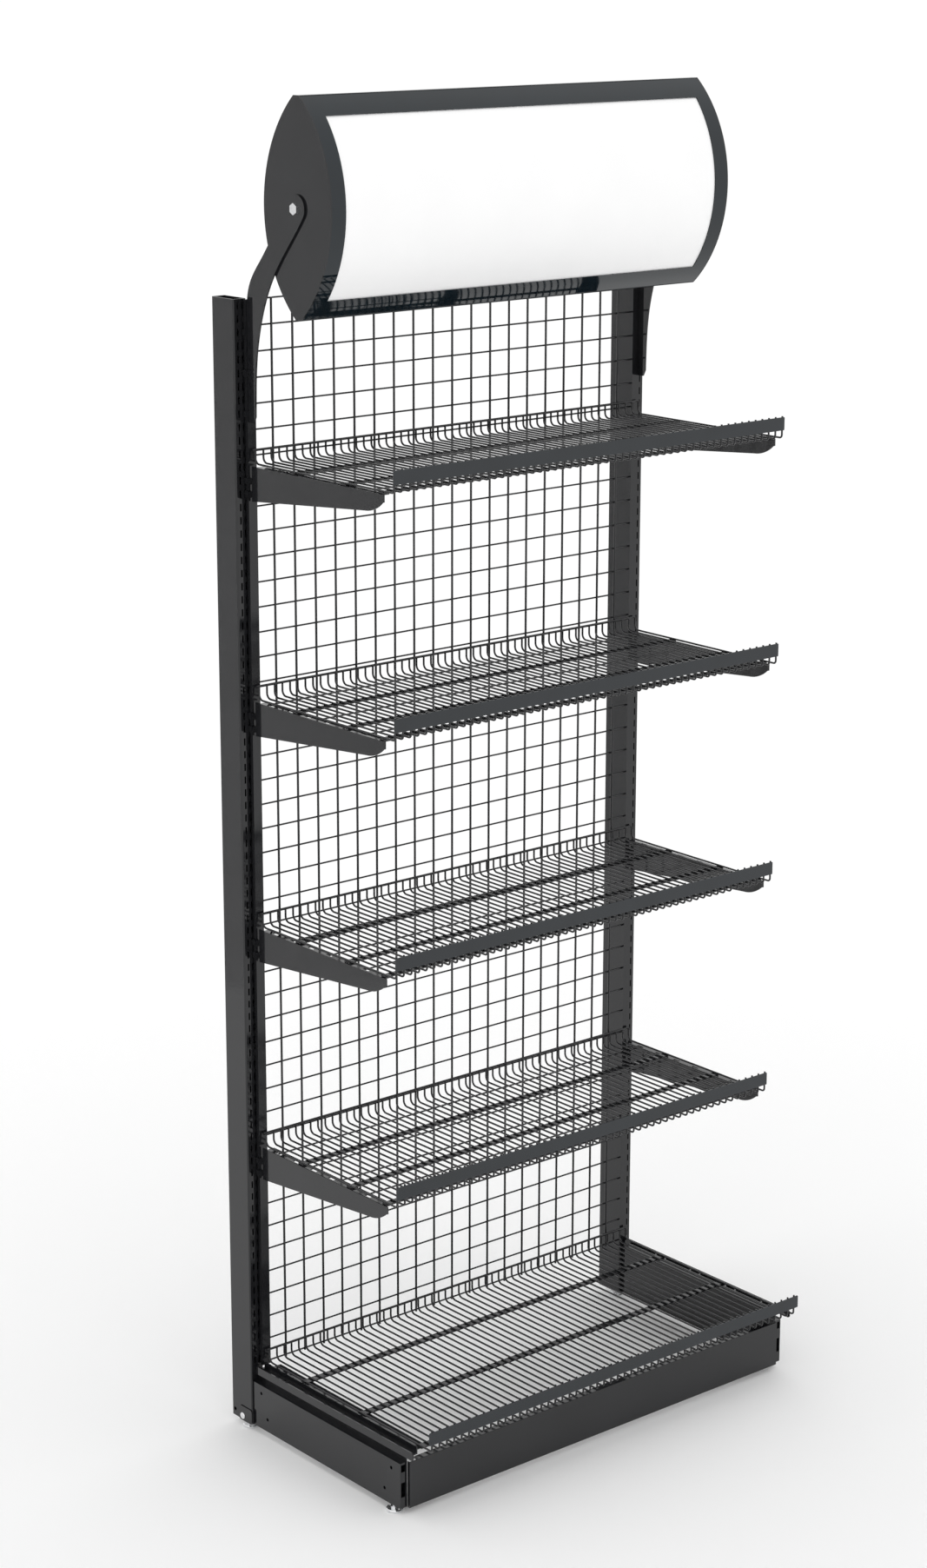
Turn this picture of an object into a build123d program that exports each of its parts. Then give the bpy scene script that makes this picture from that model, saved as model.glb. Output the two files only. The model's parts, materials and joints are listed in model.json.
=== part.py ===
"""Single-sided wire gondola bay: slotted uprights, mesh back, lift-off wire decks,
a legged base with a kick plate, and a tilting sign canopy.

Millimetres, +Z up, front of the bay towards -Y, origin under the middle of the
whole unit on the floor.
"""
import os

from build123d import *

os.makedirs("parts", exist_ok=True)

# ---- bay -------------------------------------------------------------------
BAY_PITCH = 1000.0        # upright centre to upright centre
UPRIGHT_WIDTH = 30.0
UPRIGHT_DEPTH = 67.0
UPRIGHT_LENGTH = 2250.0
UPRIGHT_WALL = 2.0
UPRIGHT_CORNER = 3.0
FOOT_HEIGHT = 15.0        # underside of the uprights and legs above the floor

# ---- slots -----------------------------------------------------------------
SLOT_PITCH = 25.0
SLOT_WIDTH = 3.5
SLOT_HEIGHT = 14.0
SLOT_OFFSET = 5.0         # each column from the upright's centre line
SLOT_TOP = 11.5           # first slot centre below the upright's top
SLOT_BOTTOM = 10.0        # least distance from the last slot to the lower end

# ---- hooks -----------------------------------------------------------------
HOOK_THICK = 2.0
HOOK_HEIGHT = 12.0
HOOK_REACH = 6.0          # how far a hook goes in behind the upright's face
HOOK_DROP = 4.0           # lip that hangs behind the face

# ---- mesh back -------------------------------------------------------------
MESH_COLUMNS = 19
MESH_EDGE = 39.8          # outermost column centre inside the side bar
MESH_END = 132.3          # bottom row about that far above the upright's lower end
MESH_ROW_PITCH = 48.13
MESH_COLUMN_WIRE = 4.5    # diameters
MESH_ROW_WIRE = 3.5
MESH_TOP_GAP = 2.0        # top row centre below the upright's top
WELD_GAP = 0.05           # room for the weld between crossing wires
SIDE_BAR_WIDTH = 19.3
SIDE_BAR_THICK = 7.8
SIDE_BAR_FRONT = 10.8     # front face of the side bars ahead of the uprights
SIDE_BAR_LAP = 8.8        # how far each side bar laps the upright's face
SIDE_BAR_HOOKS = (1, 28, 58, 83)

# ---- shelves ---------------------------------------------------------------
SHELF_COUNT = 4
SHELF_STEP_SLOTS = 18
TOP_SHELF_DROP = 309.0    # top shelf's bracket edge below the upright's top
BRACKET_THICK = 2.5
BRACKET_INNER = 2.0       # bracket's inner face inside the upright's inner side
BRACKET_REAR = 15.0       # bracket's rear edge ahead of the upright's face
BRACKET_REACH = 407.0     # bracket's tip ahead of the upright's face
BRACKET_HEIGHT = 66.0
BRACKET_NOSE = 35.5
BRACKET_TIP = 14.0
BRACKET_FLANGE = 17.0
BRACKET_SLOTS = 6
BRACKET_FIRST_HOOK = 13   # slot number counted from the upright's top

# ---- wire decks ------------------------------------------------------------
DECK_WIRES = 54
DECK_WIRE = 3.9
DECK_SIDE_GAP = 1.2       # outermost wire to the bracket's inner face
DECK_REST_GAP = 0.4       # rest clearance of a deck on its brackets
DECK_REAR = 20.0          # rear risers ahead of the upright's face
REAR_RISE = 30.0          # rail centre above the bracket's top edge
REAR_BEND = 11.0
FRONT_BEND = 6.0
RAIL_WIRE = 5.0
CROSS_BAR = 16.0
CROSS_BAR_THICK = 3.0
WELD_SINK = 0.3
STRIP_FRONT = 433.0       # ticket strip's front ahead of the upright's face
STRIP_INSET = 13.0        # strip's ends inside the uprights' centre lines
STRIP_THICK = 2.0
STRIP_LOW = 20.0          # strip's lower edge above the bracket's top edge
STRIP_HEIGHT = 26.0
TIP_PROUD = 1.5           # wire ends above the strip
STRIP_CORNER = 2.0
RAIL_PAST = 4.0           # rear rail past the outermost wire

# ---- base ------------------------------------------------------------------
BASE_STRIP_FRONT = 534.0
BASE_STRIP_INSET = 7.5
BASE_DECK_LEVEL = 145.0   # deck's bearing edge above the floor
LEG_OUTER = 4.0           # leg's outer face inside the upright's outer side
LEG_THICK = 2.5
LEG_REACH = 468.0
LEG_TOP = 109.0
LEG_FLANGE = 17.0
LEG_RISER_TOP = 133.0     # inner wall runs up under the base rail
LEG_FOOT_PLATE = 25.0     # foot plate behind the front foot
LEG_HOLE_R = 3.5
LEG_HOLE_UPPER = (27.0, 441.0)
LEG_HOLE_LOWER = (46.5, 420.5)
LEG_HOLE_UPPER_Z = 91.5
LEG_HOLE_LOWER_Z = 41.5
NOTCH_WIDTH = 10.5        # slots in the leg's front fold
NOTCHES = ((37.5, 68.0), (90.0, 105.0))
RAIL_OUTER = 9.0          # base rail's outer face inside the upright's outer side
RAIL_THICK = 2.5
RAIL_LOW = 125.0
RAIL_STEP = 141.0
RAIL_REACH = 500.0
RAIL_STEP_IN = 14.0
RAIL_FLANGE = 20.0
LIP_RISE = 4.5            # notched lips beside the base deck
LIP_NOTCH = 6.0
LIP_PITCH = 107.0
LIP_PAIR = 29.0           # between the two notches of a pair
LIP_FIRST = 110.0
KICK_THICK = 2.0
KICK_INSET = 6.5          # plate's ends inside the uprights' centre lines
KICK_LOW = 14.0
KICK_TOP = 110.0
KICK_GAP = 5.5            # plate's back to the front of the legs
KICK_FIT = 0.5
KICK_RETURN = 15.0
KICK_RETURN_INSET = 20.0

# ---- feet ------------------------------------------------------------------
FOOT_PAD_R = 17.0
FOOT_PAD_HEIGHT = 6.0
FOOT_STEM_R = 4.0
FOOT_STEM_LENGTH = 34.0
FOOT_FIT = 0.05
REAR_FOOT = 24.0          # behind the upright's face
FRONT_FOOT = 440.0        # ahead of the upright's face
FOOT_PLATE_THICK = 4.0
SIDE_PLATE = 42.0
SIDE_PLATE_HEIGHT = 31.0
SIDE_PLATE_THICK = 2.0
SCREW_BEHIND = 28.0
SCREW_LEVEL = 25.0
SCREW_HEAD_R = 7.0
LINK_HOLE_BEHIND = 57.0
LINK_HOLE_LEVEL = 29.0
LINK_HOLE_R = 4.0

# ---- sign canopy -----------------------------------------------------------
SIGN_HEIGHT = 397.0
SIGN_DEPTH = 198.0
SIGN_FLAT = 16.0          # flat edge at the top and bottom of the lens
SIGN_INSET = 12.0         # end plates inside the uprights' centre lines
SIGN_AHEAD = 162.0        # sign's centre ahead of the upright's face
SIGN_ABOVE = 173.0        # sign's centre above the upright's top
SIGN_SHEET = 2.0
SIGN_END_THICK = 2.5
SIGN_SIDE_BORDER = 34.0
SIGN_WINDOW_HEIGHT = 326.0
SIGN_PANEL = 1.5
SIGN_PANEL_LAP = 10.0
PIVOT_R = 5.0
PIVOT_FIT = 0.05
PIVOT_HEAD_R = 11.0
PIVOT_NUT_R = 9.0
ARM_THICK = 3.0
ARM_GAP = 1.0
ARM_HEAD_R = 26.0
ARM_REAR = 11.5
ARM_DROP = 227.0          # arm's lower end below the upright's top
ARM_HOOKS = (2, 5, 8)

# ---- derived ---------------------------------------------------------------
HALF_BAY = BAY_PITCH / 2
INNER_X = HALF_BAY - UPRIGHT_WIDTH / 2
OUTER_X = HALF_BAY + UPRIGHT_WIDTH / 2
UPRIGHT_TOP = FOOT_HEIGHT + UPRIGHT_LENGTH
FACE_Y = (BASE_STRIP_FRONT - UPRIGHT_DEPTH) / 2
SLOT_ROWS = int((UPRIGHT_LENGTH - SLOT_TOP - SLOT_BOTTOM) // SLOT_PITCH) + 1
INNER_SLOT_X = HALF_BAY - SLOT_OFFSET
OUTER_SLOT_X = HALF_BAY + SLOT_OFFSET
MESH_TOP = UPRIGHT_TOP - MESH_TOP_GAP
MESH_ROWS = round((UPRIGHT_LENGTH - MESH_END) / MESH_ROW_PITCH) + 1
MESH_LENGTH = MESH_ROW_PITCH * (MESH_ROWS - 1)
SIDE_BAR_OUT = INNER_X + SIDE_BAR_LAP
SIDE_BAR_IN = SIDE_BAR_OUT - SIDE_BAR_WIDTH
MESH_COLUMN_PITCH = 2 * (SIDE_BAR_IN - MESH_EDGE) / (MESH_COLUMNS - 1)
STRIP_HALF = HALF_BAY - STRIP_INSET
BASE_STRIP_HALF = HALF_BAY - BASE_STRIP_INSET
KICK_HALF = HALF_BAY - KICK_INSET
SIGN_HALF = HALF_BAY - SIGN_INSET
LIP_TOP = BASE_DECK_LEVEL + LIP_RISE
BRACKET_X = INNER_X + BRACKET_INNER
SHELF_LEVELS = [
    UPRIGHT_TOP - TOP_SHELF_DROP - step * SHELF_STEP_SLOTS * SLOT_PITCH
    for step in range(SHELF_COUNT)
]
LEG_X = OUTER_X - LEG_OUTER
RAIL_X = OUTER_X - RAIL_OUTER
SIGN_Z = UPRIGHT_TOP + SIGN_ABOVE


def ahead(distance):
    """Row y of a plane that far in front of the uprights' faces."""
    return FACE_Y - distance


def slot_z(number):
    """Height of a slot's centre, counted from the top of the uprights."""
    return UPRIGHT_TOP - SLOT_TOP - number * SLOT_PITCH


def mirrored(source):
    """The same piece on the other side of the bay."""
    with BuildPart() as other:
        mirror(source.part, about=Plane.YZ)
    return other


def block(x0, x1, front, rear, z0, z1, mode=Mode.ADD):
    """A box between two x values, two distances ahead of the face and two heights."""
    y0, y1 = ahead(front), ahead(rear)
    with Locations(((x0 + x1) / 2, (y0 + y1) / 2, (z0 + z1) / 2)):
        Box(abs(x1 - x0), abs(y1 - y0), abs(z1 - z0), mode=mode)


def hook(x_centre, root_ahead, z):
    """A hook that runs back through a slot and hangs behind the upright's face."""
    x0, x1 = x_centre - HOOK_THICK / 2, x_centre + HOOK_THICK / 2
    block(x0, x1, root_ahead, -HOOK_REACH, z - HOOK_HEIGHT / 2, z + HOOK_HEIGHT / 2)
    block(x0, x1, -UPRIGHT_WALL - 0.3, -HOOK_REACH,
          z - HOOK_HEIGHT / 2 - HOOK_DROP, z - HOOK_HEIGHT / 2)


# ---- uprights --------------------------------------------------------------
with BuildPart() as upright_right:
    with BuildSketch(Plane.XY.offset(FOOT_HEIGHT)):
        with Locations((HALF_BAY, ahead(-UPRIGHT_DEPTH / 2))):
            RectangleRounded(UPRIGHT_WIDTH, UPRIGHT_DEPTH, UPRIGHT_CORNER)
            Rectangle(UPRIGHT_WIDTH - 2 * UPRIGHT_WALL, UPRIGHT_DEPTH - 2 * UPRIGHT_WALL,
                      mode=Mode.SUBTRACT)
    extrude(amount=UPRIGHT_LENGTH)
    middle_slot = (slot_z(0) + slot_z(SLOT_ROWS - 1)) / 2
    face_plane = Plane(origin=(HALF_BAY, ahead(0), middle_slot), x_dir=(1, 0, 0),
                       z_dir=(0, -1, 0))
    with BuildSketch(face_plane):
        with GridLocations(2 * SLOT_OFFSET, SLOT_PITCH, 2, SLOT_ROWS):
            Rectangle(SLOT_WIDTH, SLOT_HEIGHT)
    extrude(amount=-UPRIGHT_WALL, mode=Mode.SUBTRACT)
    side_plane = Plane(origin=(OUTER_X, ahead(-LINK_HOLE_BEHIND), LINK_HOLE_LEVEL),
                       z_dir=(1, 0, 0))
    with BuildSketch(side_plane):
        Circle(LINK_HOLE_R)
    extrude(amount=-UPRIGHT_WALL, mode=Mode.SUBTRACT)
upright_left = mirrored(upright_right)

# ---- mesh back -------------------------------------------------------------
COLUMN_AHEAD = SIDE_BAR_FRONT - MESH_COLUMN_WIRE / 2
ROW_AHEAD = COLUMN_AHEAD - (MESH_COLUMN_WIRE + MESH_ROW_WIRE) / 2 - WELD_GAP
ROW_HALF = SIDE_BAR_IN - WELD_GAP
with BuildPart() as mesh_columns:
    with BuildSketch(Plane.XY.offset(MESH_TOP - MESH_LENGTH - MESH_ROW_WIRE / 2)):
        with Locations((0, ahead(COLUMN_AHEAD))):
            with GridLocations(MESH_COLUMN_PITCH, 1, MESH_COLUMNS, 1):
                Circle(MESH_COLUMN_WIRE / 2)
    extrude(amount=MESH_LENGTH + MESH_ROW_WIRE)
with BuildPart() as mesh_rows:
    row_plane = Plane(origin=(-ROW_HALF, ahead(ROW_AHEAD), MESH_TOP - MESH_LENGTH / 2),
                      x_dir=(0, 1, 0), z_dir=(1, 0, 0))
    with BuildSketch(row_plane):
        with GridLocations(1, MESH_ROW_PITCH, 1, MESH_ROWS):
            Circle(MESH_ROW_WIRE / 2)
    extrude(amount=2 * ROW_HALF)
with BuildPart() as mesh_bar_right:
    bar_low = MESH_TOP - MESH_LENGTH - MESH_ROW_WIRE
    bar_rear = SIDE_BAR_FRONT - SIDE_BAR_THICK
    block(SIDE_BAR_IN, SIDE_BAR_OUT, SIDE_BAR_FRONT, bar_rear, bar_low, UPRIGHT_TOP - 1.0)
    for number in SIDE_BAR_HOOKS:
        z = slot_z(number)
        block(SIDE_BAR_OUT - 6, INNER_SLOT_X + HOOK_THICK / 2, bar_rear, 0.5,
              z - HOOK_HEIGHT / 2, z + HOOK_HEIGHT / 2)
        hook(INNER_SLOT_X, bar_rear, z)
mesh_bar_left = mirrored(mesh_bar_right)


# ---- shelf brackets --------------------------------------------------------
def shelf_bracket(level, first_hook):
    """Tapered plate with an inner top flange and two hooks, right-hand side."""
    with BuildPart() as bracket:
        plate_plane = Plane(origin=(BRACKET_X, 0, 0), x_dir=(0, 1, 0), z_dir=(1, 0, 0))
        with BuildSketch(plate_plane):
            with BuildLine():
                Polyline((ahead(BRACKET_REACH), level - BRACKET_TIP),
                         (ahead(BRACKET_REACH), level),
                         (ahead(BRACKET_REAR), level),
                         (ahead(BRACKET_REAR), level - BRACKET_HEIGHT),
                         (ahead(BRACKET_REACH - 54), level - BRACKET_NOSE))
                ThreePointArc((ahead(BRACKET_REACH - 54), level - BRACKET_NOSE),
                              (ahead(BRACKET_REACH - 25), level - BRACKET_NOSE + 6.5),
                              (ahead(BRACKET_REACH - 4), level - BRACKET_TIP - 1))
                Line((ahead(BRACKET_REACH - 4), level - BRACKET_TIP - 1),
                     (ahead(BRACKET_REACH), level - BRACKET_TIP))
            make_face()
        extrude(amount=BRACKET_THICK)
        block(BRACKET_X - BRACKET_FLANGE, BRACKET_X, BRACKET_REACH - 8, BRACKET_REAR + 12,
              level - BRACKET_THICK, level)
        slot_run = (BRACKET_REACH - BRACKET_REAR) / (BRACKET_SLOTS + 1)
        for number in range(BRACKET_SLOTS):
            centre = BRACKET_REAR + 16 + (number + 0.5) * slot_run
            block(BRACKET_X - 0.6 * BRACKET_FLANGE, BRACKET_X - 2,
                  centre + 9, centre - 9, level - BRACKET_THICK, level, Mode.SUBTRACT)
        for number in (first_hook, first_hook + 1):
            z = slot_z(number)
            block(BRACKET_X, INNER_SLOT_X + HOOK_THICK / 2, BRACKET_REAR,
                  BRACKET_REAR - HOOK_THICK, z - HOOK_HEIGHT / 2, z + HOOK_HEIGHT / 2)
            hook(INNER_SLOT_X, BRACKET_REAR, z)
    return bracket


brackets_right = []
brackets_left = []
for index, shelf_level in enumerate(SHELF_LEVELS):
    first = BRACKET_FIRST_HOOK + index * SHELF_STEP_SLOTS
    brackets_right.append(shelf_bracket(shelf_level, first))
    brackets_left.append(mirrored(brackets_right[-1]))


# ---- wire decks ------------------------------------------------------------
DECK_REACH_X = BRACKET_X - DECK_SIDE_GAP - DECK_WIRE / 2
DECK_SPACING = 2 * DECK_REACH_X / (DECK_WIRES - 1)
FLOOR_RISE = DECK_REST_GAP + CROSS_BAR_THICK - WELD_SINK + DECK_WIRE / 2
REAR_Y = ahead(DECK_REAR)
RAIL_Y = REAR_Y + (DECK_WIRE + RAIL_WIRE) / 2 - WELD_SINK


def front_wire_y(strip_front):
    """Row y of the front risers, which stand against the back of the strip."""
    return ahead(strip_front - STRIP_THICK - DECK_WIRE / 2 + WELD_SINK)


def deck_floor(level, strip_front, cross_bars):
    """Straight runs of the deck wires, welded on flat cross bars."""
    wire_z = level + FLOOR_RISE
    front_y = front_wire_y(strip_front) + FRONT_BEND
    with BuildPart() as floor:
        with BuildSketch(Plane(origin=(0, REAR_Y - REAR_BEND, wire_z), x_dir=(1, 0, 0),
                               z_dir=(0, -1, 0))):
            with GridLocations(DECK_SPACING, 1, DECK_WIRES, 1):
                Circle(DECK_WIRE / 2)
        extrude(amount=REAR_Y - REAR_BEND - front_y)
        for bar_ahead in cross_bars:
            block(-BRACKET_X + 1, BRACKET_X - 1, bar_ahead + CROSS_BAR / 2,
                  bar_ahead - CROSS_BAR / 2, level + DECK_REST_GAP,
                  level + DECK_REST_GAP + CROSS_BAR_THICK)
    return floor


def deck_back(level):
    """Upturned rear ends of the deck wires, welded to the rear rail."""
    wire_z = level + FLOOR_RISE
    rail_z = level + REAR_RISE
    with BuildPart() as riser:
        with BuildLine(Plane.YZ) as rise:
            JernArc((REAR_Y - REAR_BEND, wire_z), (1, 0), REAR_BEND, 90)
            Line((REAR_Y, wire_z + REAR_BEND), (REAR_Y, rail_z))
        with BuildSketch(Plane((0, REAR_Y - REAR_BEND, wire_z), z_dir=(0, 1, 0))):
            Circle(DECK_WIRE / 2)
        sweep(path=rise.line)
    with BuildPart() as back:
        with GridLocations(DECK_SPACING, 1, DECK_WIRES, 1):
            add(riser.part)
        with Locations((0, RAIL_Y, rail_z)):
            Cylinder(RAIL_WIRE / 2, 2 * (DECK_REACH_X + RAIL_PAST), rotation=(0, 90, 0))
    return back


def ticket_strip(level, strip_front, half):
    """Flat strip welded on the upturned front ends of the deck wires."""
    wire_z = level + FLOOR_RISE
    front_y = front_wire_y(strip_front)
    tip_z = level + STRIP_LOW + STRIP_HEIGHT + TIP_PROUD
    with BuildPart() as tip:
        with BuildLine(Plane.YZ) as rise:
            JernArc((front_y + FRONT_BEND, wire_z), (-1, 0), FRONT_BEND, -90)
            Line((front_y, wire_z + FRONT_BEND), (front_y, tip_z))
        with BuildSketch(Plane((0, front_y + FRONT_BEND, wire_z), z_dir=(0, -1, 0))):
            Circle(DECK_WIRE / 2)
        sweep(path=rise.line)
    with BuildPart() as strip:
        block(-half, half, strip_front, strip_front - STRIP_THICK,
              level + STRIP_LOW, level + STRIP_LOW + STRIP_HEIGHT)
        fillet(strip.edges().filter_by(Axis.Y), STRIP_CORNER)
        with GridLocations(DECK_SPACING, 1, DECK_WIRES, 1):
            add(tip.part)
    return strip


def lowered(source, drop):
    """The same piece on a lower shelf."""
    with BuildPart() as lower:
        add(source.part.moved(Location((0, 0, -drop))))
    return lower


SHELF_BARS = (STRIP_FRONT * 0.31, STRIP_FRONT * 0.66, STRIP_FRONT - 38)
BASE_BARS = (BASE_STRIP_FRONT * 0.25, BASE_STRIP_FRONT * 0.59, BASE_STRIP_FRONT - 40)
top_floor = deck_floor(SHELF_LEVELS[0], STRIP_FRONT, SHELF_BARS)
top_back = deck_back(SHELF_LEVELS[0])
top_strip = ticket_strip(SHELF_LEVELS[0], STRIP_FRONT, STRIP_HALF)
floors = []
backs = []
strips = []
for shelf_level in SHELF_LEVELS:
    shelf_drop = SHELF_LEVELS[0] - shelf_level
    floors.append(lowered(top_floor, shelf_drop))
    backs.append(lowered(top_back, shelf_drop))
    strips.append(lowered(top_strip, shelf_drop))
base_floor = deck_floor(BASE_DECK_LEVEL, BASE_STRIP_FRONT, BASE_BARS)
base_back = deck_back(BASE_DECK_LEVEL)
base_strip = ticket_strip(BASE_DECK_LEVEL, BASE_STRIP_FRONT, BASE_STRIP_HALF)

# ---- base legs -------------------------------------------------------------
with BuildPart() as leg_right:
    block(LEG_X - LEG_THICK, LEG_X, LEG_REACH, 0.5, FOOT_HEIGHT, LEG_TOP)
    block(LEG_X - LEG_FLANGE, LEG_X, LEG_REACH, 0.5, LEG_TOP - LEG_THICK, LEG_TOP)
    block(LEG_X - LEG_FLANGE, LEG_X, LEG_REACH, FRONT_FOOT - LEG_FOOT_PLATE,
          FOOT_HEIGHT, FOOT_HEIGHT + LEG_THICK)
    block(LEG_X - LEG_FLANGE, LEG_X, 0.5 + LEG_THICK, 0.5, FOOT_HEIGHT, LEG_TOP)
    block(LEG_X - LEG_FLANGE, LEG_X, LEG_REACH, LEG_REACH - LEG_THICK, FOOT_HEIGHT, LEG_TOP)
    block(LEG_X - LEG_FLANGE, LEG_X - LEG_FLANGE + LEG_THICK, LEG_REACH, 0.5,
          FOOT_HEIGHT, LEG_RISER_TOP)
    for hole_ahead, hole_z in (
        (LEG_HOLE_UPPER[0], LEG_HOLE_UPPER_Z), (LEG_HOLE_UPPER[1], LEG_HOLE_UPPER_Z),
        (LEG_HOLE_LOWER[0], LEG_HOLE_LOWER_Z), (LEG_HOLE_LOWER[1], LEG_HOLE_LOWER_Z),
    ):
        with BuildSketch(Plane(origin=(LEG_X, ahead(hole_ahead), hole_z), z_dir=(1, 0, 0))):
            Circle(LEG_HOLE_R)
        extrude(amount=-LEG_THICK, mode=Mode.SUBTRACT)
    for notch_low, notch_high in NOTCHES:
        block(LEG_X - LEG_THICK - NOTCH_WIDTH, LEG_X - LEG_THICK, LEG_REACH,
              LEG_REACH - LEG_THICK, notch_low, notch_high, Mode.SUBTRACT)
    with Locations((LEG_X - FOOT_PAD_R / 2, ahead(FRONT_FOOT), FOOT_HEIGHT)):
        Cylinder(FOOT_STEM_R + FOOT_FIT, 4 * LEG_THICK, mode=Mode.SUBTRACT)
    for number in (SLOT_ROWS - 4, SLOT_ROWS - 2):
        hook(OUTER_SLOT_X, 0.5 + LEG_THICK, slot_z(number))
leg_left = mirrored(leg_right)

# ---- base rails that carry the bottom deck ----------------------------------
with BuildPart() as base_rail_right:
    web_plane = Plane(origin=(RAIL_X - RAIL_THICK, 0, 0), x_dir=(0, 1, 0), z_dir=(1, 0, 0))
    with BuildSketch(web_plane):
        with Locations(((ahead(RAIL_REACH) + ahead(3)) / 2, (RAIL_LOW + RAIL_STEP) / 2)):
            RectangleRounded(RAIL_REACH - 3, RAIL_STEP - RAIL_LOW, 5.0)
    extrude(amount=RAIL_THICK)
    inner_web = RAIL_X - RAIL_STEP_IN
    block(inner_web - RAIL_THICK, RAIL_X - RAIL_THICK, RAIL_REACH - 6, 8,
          RAIL_STEP - 5 - RAIL_THICK, RAIL_STEP - 5)
    block(inner_web - RAIL_THICK, inner_web, RAIL_REACH - 6, SIDE_BAR_FRONT + 2,
          RAIL_STEP - 5 - RAIL_THICK, BASE_DECK_LEVEL)
    block(BRACKET_X - RAIL_FLANGE, inner_web, RAIL_REACH - 6, DECK_REAR + 14,
          BASE_DECK_LEVEL - RAIL_THICK, BASE_DECK_LEVEL)
    hook(OUTER_SLOT_X, 3.0 + RAIL_THICK, slot_z(SLOT_ROWS - 5))
    block(RAIL_X - RAIL_THICK, OUTER_SLOT_X + HOOK_THICK / 2, 14, 3,
          RAIL_LOW + 1, RAIL_LOW + 11)
base_rail_left = mirrored(base_rail_right)
with BuildPart() as rail_lip_right:
    block(inner_web - RAIL_THICK, inner_web, RAIL_REACH - 6, SIDE_BAR_FRONT + 2,
          BASE_DECK_LEVEL, LIP_TOP)
    for step in range(4):
        for notch_ahead in (LIP_FIRST + step * LIP_PITCH,
                            LIP_FIRST + step * LIP_PITCH + LIP_PAIR):
            block(inner_web - RAIL_THICK, inner_web, notch_ahead + LIP_NOTCH / 2,
                  notch_ahead - LIP_NOTCH / 2, BASE_DECK_LEVEL + 0.5, LIP_TOP,
                  Mode.SUBTRACT)
rail_lip_left = mirrored(rail_lip_right)

# ---- kick plate -------------------------------------------------------------
with BuildPart() as kick_plate:
    kick_front = LEG_REACH + KICK_GAP + KICK_THICK
    block(-KICK_HALF, KICK_HALF, kick_front, kick_front - KICK_THICK, KICK_LOW, KICK_TOP)
    for low in (KICK_LOW, KICK_TOP - KICK_THICK):
        block(-KICK_HALF + KICK_RETURN_INSET, KICK_HALF - KICK_RETURN_INSET, kick_front,
              kick_front - KICK_RETURN, low, low + KICK_THICK)
    for side in (1, -1):
        block(side * (KICK_HALF - KICK_THICK), side * KICK_HALF, kick_front,
              LEG_REACH + KICK_FIT, KICK_LOW, KICK_TOP)
    fillet(kick_plate.edges().filter_by(Axis.X).group_by(Axis.Y)[0], 1.0)

# ---- feet -------------------------------------------------------------------
REAR_FOOT_X = HALF_BAY
FRONT_FOOT_X = LEG_X - FOOT_PAD_R / 2


def levelling_foot(x, foot_ahead):
    """Round pad, hexagon and threaded stem."""
    with BuildPart() as foot:
        with Locations((x, ahead(foot_ahead), 0)):
            Cylinder(FOOT_PAD_R, FOOT_PAD_HEIGHT,
                     align=(Align.CENTER, Align.CENTER, Align.MIN))
        chamfer(foot.edges().group_by(Axis.Z)[-1], 2.0)
        with BuildSketch(Plane.XY.offset(FOOT_PAD_HEIGHT)):
            with Locations((x, ahead(foot_ahead))):
                RegularPolygon(8.0, 6)
        extrude(amount=4.0)
        with Locations((x, ahead(foot_ahead), 0)):
            Cylinder(FOOT_STEM_R, FOOT_STEM_LENGTH,
                     align=(Align.CENTER, Align.CENTER, Align.MIN))
    return foot


inside_w = UPRIGHT_WIDTH - 2 * UPRIGHT_WALL
inside_d = UPRIGHT_DEPTH - 2 * UPRIGHT_WALL
with BuildPart() as foot_insert_right:
    with Locations((REAR_FOOT_X, ahead(-UPRIGHT_DEPTH / 2), FOOT_HEIGHT + 3)):
        Box(inside_w, inside_d, FOOT_PLATE_THICK)
    with Locations((REAR_FOOT_X, ahead(-REAR_FOOT), FOOT_HEIGHT + 3)):
        Cylinder(FOOT_STEM_R + FOOT_FIT, 3 * FOOT_PLATE_THICK, mode=Mode.SUBTRACT)
foot_insert_left = mirrored(foot_insert_right)
foot_rear_right = levelling_foot(REAR_FOOT_X, -REAR_FOOT)
foot_rear_left = mirrored(foot_rear_right)
foot_front_right = levelling_foot(FRONT_FOOT_X, FRONT_FOOT)
foot_front_left = mirrored(foot_front_right)

# ---- side plates and screws at the foot of the uprights ----------------------
with BuildPart() as side_plate_right:
    plate_origin = Plane(origin=(OUTER_X, 0, 0), x_dir=(0, 1, 0), z_dir=(1, 0, 0))
    with BuildSketch(plate_origin):
        with Locations((ahead(-SIDE_PLATE / 2 + 1), FOOT_HEIGHT + SIDE_PLATE_HEIGHT / 2 - 1)):
            RectangleRounded(SIDE_PLATE, SIDE_PLATE_HEIGHT, 5.0)
    extrude(amount=SIDE_PLATE_THICK)
side_plate_left = mirrored(side_plate_right)
with BuildPart() as foot_screws:
    for side in (1, -1):
        head_plane = Plane(
            origin=(side * (OUTER_X + SIDE_PLATE_THICK), ahead(-SCREW_BEHIND), SCREW_LEVEL),
            z_dir=(side, 0, 0))
        with BuildSketch(head_plane):
            Circle(SCREW_HEAD_R)
        extrude(amount=3.0)
    fillet(foot_screws.edges().filter_by(GeomType.CIRCLE).group_by(Axis.X)[0], 2.0)
    fillet(foot_screws.edges().filter_by(GeomType.CIRCLE).group_by(Axis.X)[-1], 2.0)

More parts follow.
